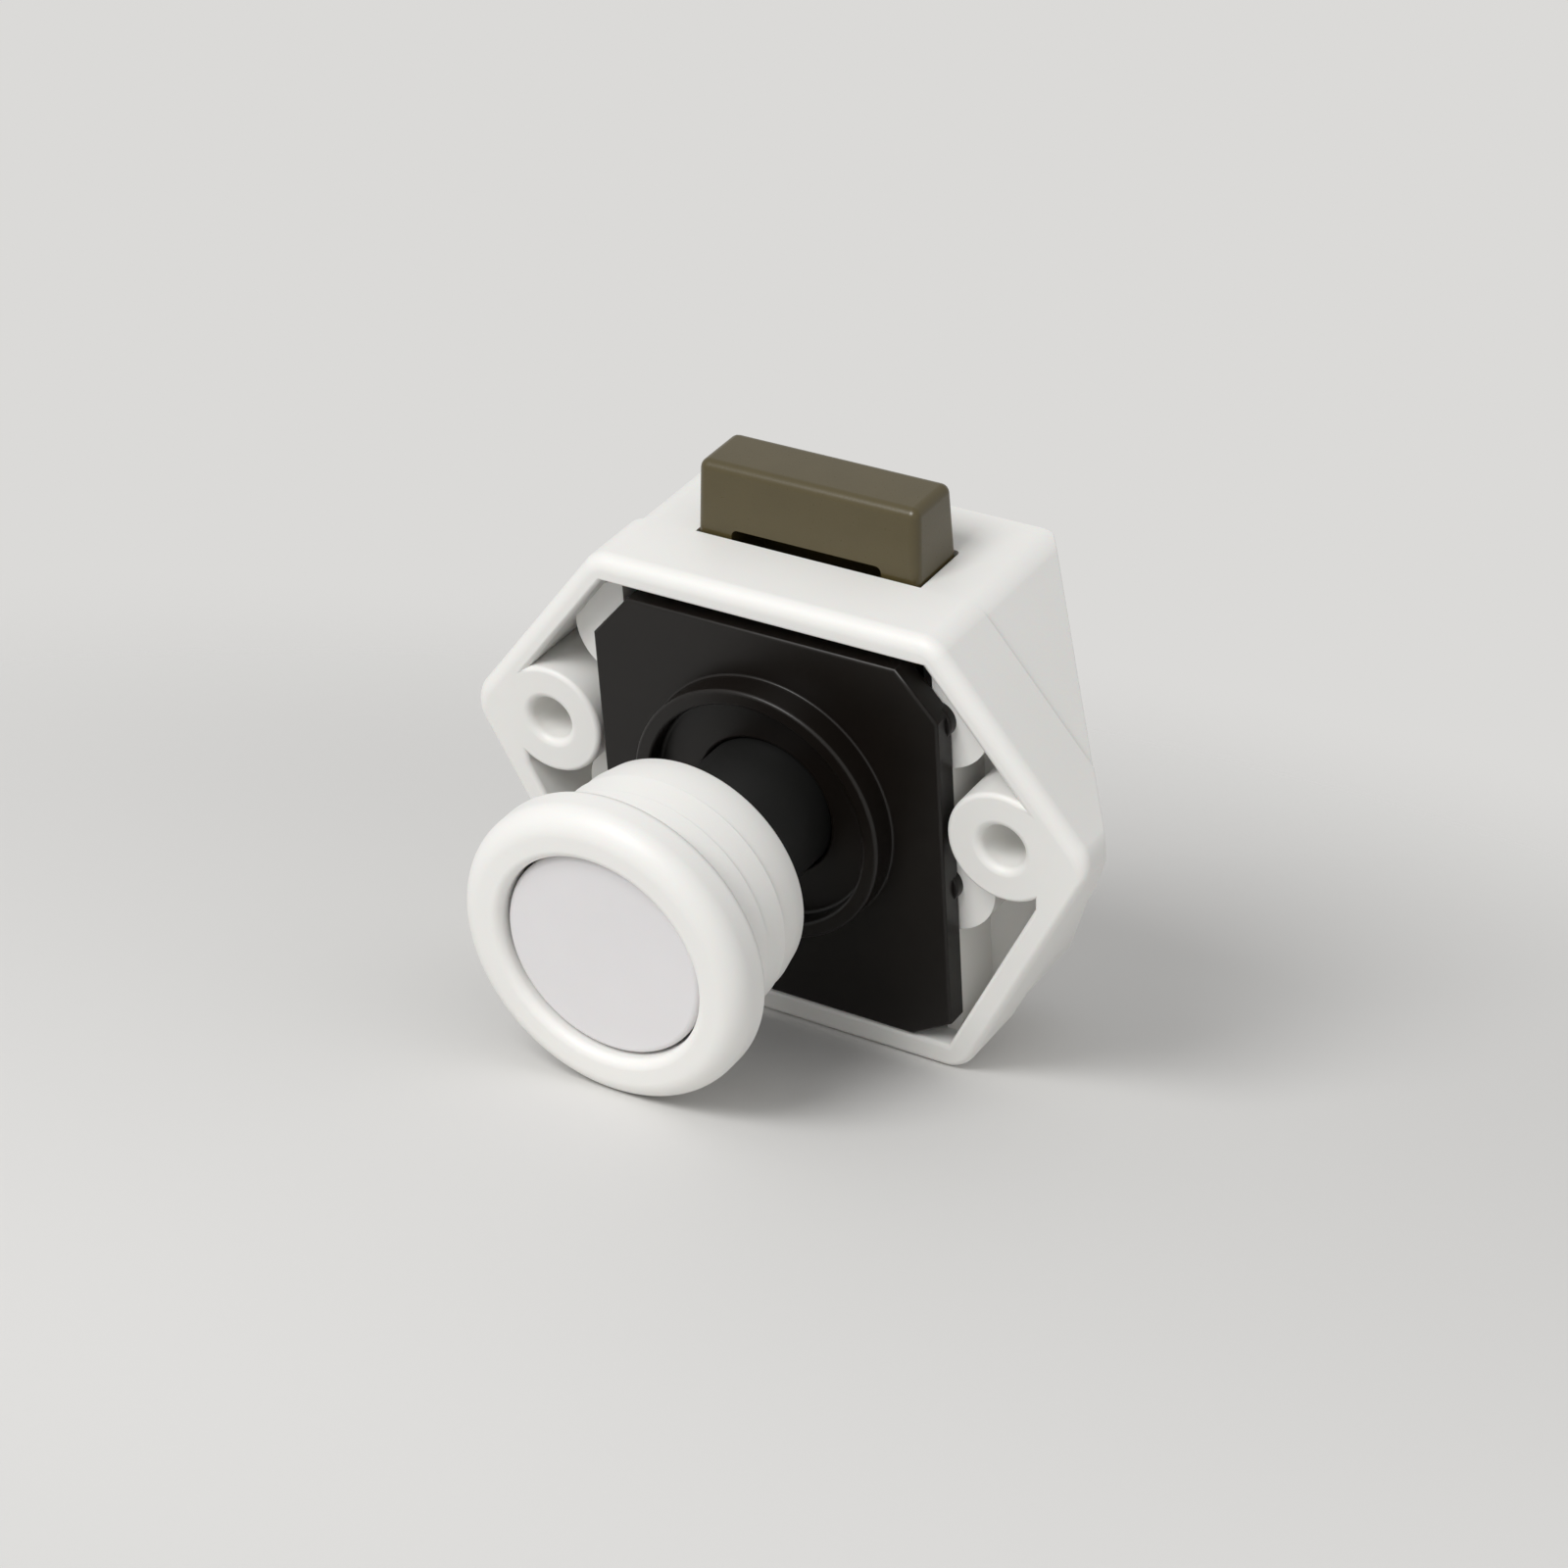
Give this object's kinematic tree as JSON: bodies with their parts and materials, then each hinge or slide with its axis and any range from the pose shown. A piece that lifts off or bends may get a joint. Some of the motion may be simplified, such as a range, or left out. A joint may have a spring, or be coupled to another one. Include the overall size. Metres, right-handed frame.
{
  "type": "pushbutton drawer latch",
  "caption": "Pushbutton latch for a drawer or cupboard door: hexagonal plastic case with a sliding bolt, a round push button on a stem and a ring that clips into the door.",
  "frame": {"origin": "on the button's axis, in the plane of the case's rim that lies against the inside of the door", "axes": "+X across the case, +Y back from the door into the case, +Z the way the bolt points"},
  "size_m": [0.0656, 0.0516, 0.0525],
  "materials": {
    "white_plastic": "satin",
    "cap_plastic": "satin",
    "black_plastic": "satin",
    "olive_plastic": "satin",
    "steel": "satin"
  },
  "bodies": {
    "case": {"housing": "white_plastic", "cover_plate": "black_plastic", "rosette": "white_plastic", "return_spring": "steel"},
    "button": {"push_rod": "black_plastic", "button": "cap_plastic"},
    "bolt": {"latch_bolt": "olive_plastic"},
    "follower": {"cam_follower": "steel"}
  },
  "joints": [
    {"name": "button_slide", "type": "slide", "parent": "case", "child": "button", "axis": [0, -1, 0], "range_m": [-0.0015, 0.009], "deforming": ["return_spring"]},
    {"name": "bolt_slide", "type": "slide", "parent": "case", "child": "bolt", "axis": [0, 0, 1], "range_m": [-0.0077, 0.0013]},
    {"name": "follower_swing", "type": "hinge", "parent": "case", "child": "follower", "pos_m": [0, 0.0194, -0.0065], "axis": [0, 0, 1], "range_deg": [-6, 6]}
  ],
  "couplings": [
    {"joint": "bolt_slide", "follows": "button_slide", "ratio": -0.84444}
  ]
}
